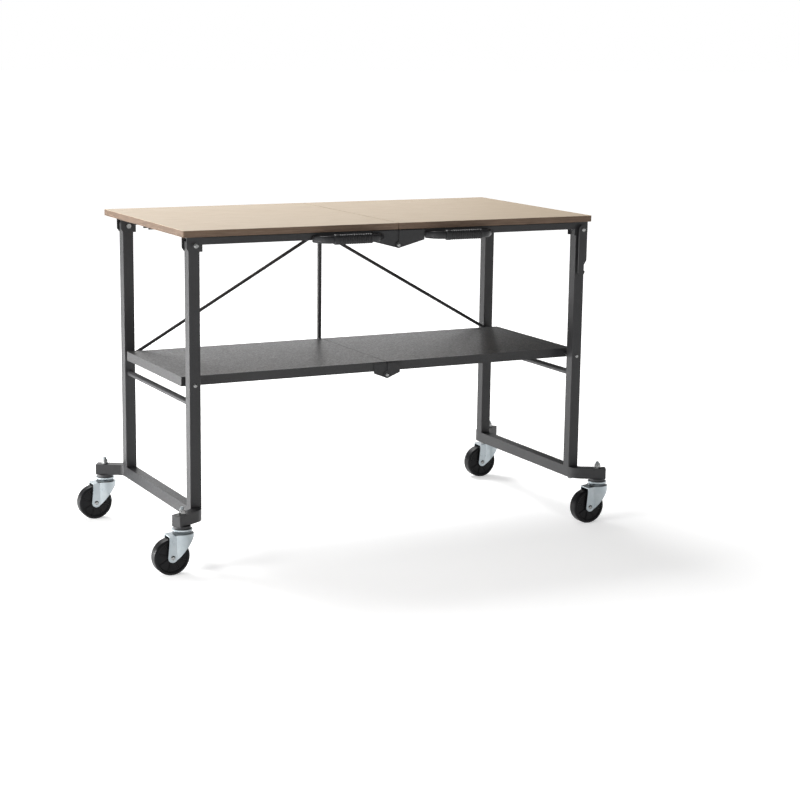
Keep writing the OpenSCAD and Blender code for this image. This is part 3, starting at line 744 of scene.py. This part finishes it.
def wheel_profile(radius, hub_w, half_w):
    """Section of a wheel, where hub_w and half_w are half the widths of its hub and its rim."""
    web = half_w - WEB_DEEP
    rim_r = radius - RIM_THICK
    tread_r = radius - TREAD_THICK
    hub = [
        (BORE_R, hub_w - BORE_EDGE),
        (BORE_R + BORE_EDGE, hub_w),
        (HUB_R - HUB_EDGE, hub_w),
        (HUB_R, hub_w - HUB_EDGE),
    ]
    recess = [
        (HUB_R + HUB_DRAFT, web + FILLET_TALL),
        (HUB_R + HUB_DRAFT + HUB_FILLET, web),
        (rim_r - RIM_DRAFT - RIM_FILLET, web),
        (rim_r - RIM_DRAFT, web + FILLET_TALL),
    ]
    rim = [
        (rim_r, half_w - RIM_EDGE),
        (rim_r + RIM_EDGE, half_w),
        (tread_r, half_w),
        (tread_r + GROOVE_SLOPE, half_w - GROOVE_DEEP),
        (tread_r + GROOVE_WIDE, half_w - GROOVE_DEEP),
    ]
    shoulder = arc(
        radius - SHOULDER_R,
        half_w - SHOULDER_DEEP - SHOULDER_R,
        SHOULDER_R,
        SHOULDER_START,
        SHOULDER_STOP,
        SHOULDER_STEPS,
    )
    half = hub + recess + rim + shoulder + [(radius, half_w * TREAD_FLAT)]
    return half + [(r, -w) for r, w in reversed(half)]


def make_wheel(end, side, nylon):
    """Moulded wheel: rounded tread, rim lip, shallow web with radial ribs and a raised hub."""
    node = f"wheel_{end}_{side}"
    low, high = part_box(node)
    centre = (low + high) / 2
    radius = (high.z - low.z) / 2
    hub_w = (high.y - low.y) / 2
    half_w = hub_w - HUB_PROUD
    rim_r = radius - RIM_THICK
    bm = bmesh.new()
    turned(bm, wheel_profile(radius, hub_w, half_w), centre, "Y", WHEEL_SIDES)
    rib_size = (rim_r - HUB_R + 2 * RIB_ROOT, 2 * (half_w - RIB_DEEP), RIB_THICK)
    rib = Matrix.Translation(((HUB_R + rim_r) / 2, 0, 0)) @ Matrix.Diagonal((*rib_size, 1))
    for i in range(WHEEL_RIBS):
        turn = Matrix.Rotation(2 * math.pi * (i + RIB_TURN) / WHEEL_RIBS, 4, "Y")
        bmesh.ops.create_cube(bm, size=1, matrix=Matrix.Translation(centre) @ turn @ rib)
    wheel = new_object(f"caster_wheel_{end}_{side}", bm)
    smooth(wheel, angle=32)
    finish_piece(wheel, nylon, f"{end}_{side}_wheel", "wheel", node)


# ---------------------------------------------------------------- metalwork

# Thread ridges. The shape's points are shares of the thread's depth and of its pitch.
THREAD_PITCH = 1.25 * MM
THREAD_R = 5.35 * MM
THREAD_DEEP = 0.6 * MM
THREAD_SIDES = 40
THREAD_SHAPE = ((0, 0), (1, 0.40), (1, 0.55), (0, 0.95))
STEM_CHAMFER = 1.2 * MM

# Weld beads, whose ripples are shares of the bead's radius.
WELD_R = 1.5 * MM
WELD_RIPPLE = 0.16
WELD_RIPPLES = 26
WELD_RINGS = 156
WELD_SIDES = 10


def make_stem_threads(side, steel):
    """Thread ridges on the two caster stems, where they stand out of their nuts."""
    nut_low, nut_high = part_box(f"caster_nuts_{side}")
    stem_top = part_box(f"caster_stems_{side}")[1].z - STEM_CHAMFER
    washer_r = (nut_high.x - nut_low.x) / 2
    ridges = int((stem_top - nut_high.z) / THREAD_PITCH)
    root = THREAD_R - THREAD_DEEP
    profile = [(root + up * THREAD_DEEP, along * THREAD_PITCH) for up, along in THREAD_SHAPE]
    bm = bmesh.new()
    for y in (nut_low.y + washer_r, nut_high.y - washer_r):
        for i in range(ridges):
            at = ((nut_low.x + nut_high.x) / 2, y, nut_high.z + i * THREAD_PITCH)
            turned(bm, profile, at, "Z", THREAD_SIDES)
    threads = new_object(f"stem_threads_{side}", bm)
    smooth(threads, angle=30)
    finish_piece(threads, steel, f"{side}_legs", "zinc")


def make_tube_welds(side, coat):
    """Rippled weld beads round both ends of the cross tube, under the powder coat."""
    low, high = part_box(f"cross_tube_{side}")
    middle = (low + high) / 2
    tube_r = (high.z - low.z) / 2
    bm = bmesh.new()
    for y in (low.y, high.y):
        rings = []
        for i in range(WELD_RINGS):
            a = 2 * math.pi * i / WELD_RINGS
            bead = WELD_R * (1 + WELD_RIPPLE * math.sin(WELD_RIPPLES * a))
            ring = []
            for j in range(WELD_SIDES):
                b = 2 * math.pi * j / WELD_SIDES
                r = tube_r + bead * math.cos(b)
                x, z = middle.x + r * math.cos(a), middle.z + r * math.sin(a)
                ring.append((x, y + bead * math.sin(b), z))
            rings.append(ring)
        loft(bm, rings, closed=True)
    welds = new_object(f"cross_tube_welds_{side}", bm)
    smooth(welds, angle=60)
    finish_piece(welds, coat, f"{side}_legs", "frame_paint")


def both(*stems):
    return [f"{stem}_{side}" for stem in stems for side in SIDES]


def paint_nodes(names, material, width, segments=2, angle=35):
    """Gives CAD nodes their material, and rounds their edges by width."""
    for name in names:
        piece = NODES[name]
        material.give(piece)
        smooth(piece, angle=30)
        bevel(piece, width, segments, angle)


def make_metalwork(coat, shelf_coat, zinc, steel, plastic):
    tubes = both("front_leg", "rear_leg", "front_rail", "rear_rail", "cross_rails", "cross_tube", "brace")
    plates = both("leg_brackets", "hinge_plates", "shelf_hinge_plates")
    bolts = both("caster_nuts", "foot_bolts", "pivot_bolts", "panel_screws")
    bolts += ["top_hinge_bolts", "shelf_hinge_bolts"]
    paint_nodes(tubes, coat, width=0.3 * MM)
    paint_nodes(both("base_rail"), coat, width=2.0 * MM, segments=3, angle=50)
    paint_nodes(["centre_rod", "brace_collar"], coat, width=0.4 * MM)
    paint_nodes(plates, coat, width=0.6 * MM)
    paint_nodes(["latch_hook"], coat, width=0.7 * MM)
    paint_nodes(both("shelf"), shelf_coat, width=1.0 * MM)
    paint_nodes(both("plugs_and_spacers"), plastic, width=1.2 * MM)
    paint_nodes(both("caster_stems"), zinc, width=0.5 * MM)
    paint_nodes(bolts, steel, width=0.5 * MM)
    paint_nodes([f"fork_{corner}" for corner in CORNERS], zinc, width=0.8 * MM, segments=3)
    paint_nodes([f"axle_{corner}" for corner in CORNERS], steel, width=0.6 * MM)


def make_table():
    coat = powder_coat("frame_powder_coat", COAT_TONE, grain=700, depth=0.06 * MM)
    shelf_coat = powder_coat("shelf_powder_coat", SHELF_TONE, grain=520, depth=0.09 * MM)
    zinc = plated_material("zinc_plate", ZINC_TONES, smoothest=0.26, roughest=0.36)
    steel = plated_material("bolt_steel", STEEL_TONES, smoothest=0.18, roughest=0.30)
    nylon = moulded_material("wheel_nylon", NYLON_TONE, roughness=0.38, grain=240, gloss=0.22)
    plastic = moulded_material("handle_plastic", HANDLE_TONE, roughness=0.36)
    rubber = moulded_material("grip_rubber", GRIP_TONE, roughness=0.48, grain=520, depth=0.05 * MM)
    cap = moulded_material("cap_plastic", CAP_TONE, roughness=0.5)
    surface = worktop_material()
    band = edge_band_material()
    board = fibreboard_material()
    make_metalwork(coat, shelf_coat, zinc, steel, cap)
    for side in SIDES:
        make_panel(side, surface, band, board)
        make_handle_bar(side, plastic)
        make_handle_grip(side, rubber)
        make_handle_screws(side, steel)
        make_stem_threads(side, steel)
        make_tube_welds(side, coat)
        for end in ENDS:
            make_wheel(end, side, nylon)


SCENE.view_settings.view_transform = "Standard"
SCENE.view_settings.look = "None"
add_camera()
add_world()
add_lights()
add_floor()
make_table()
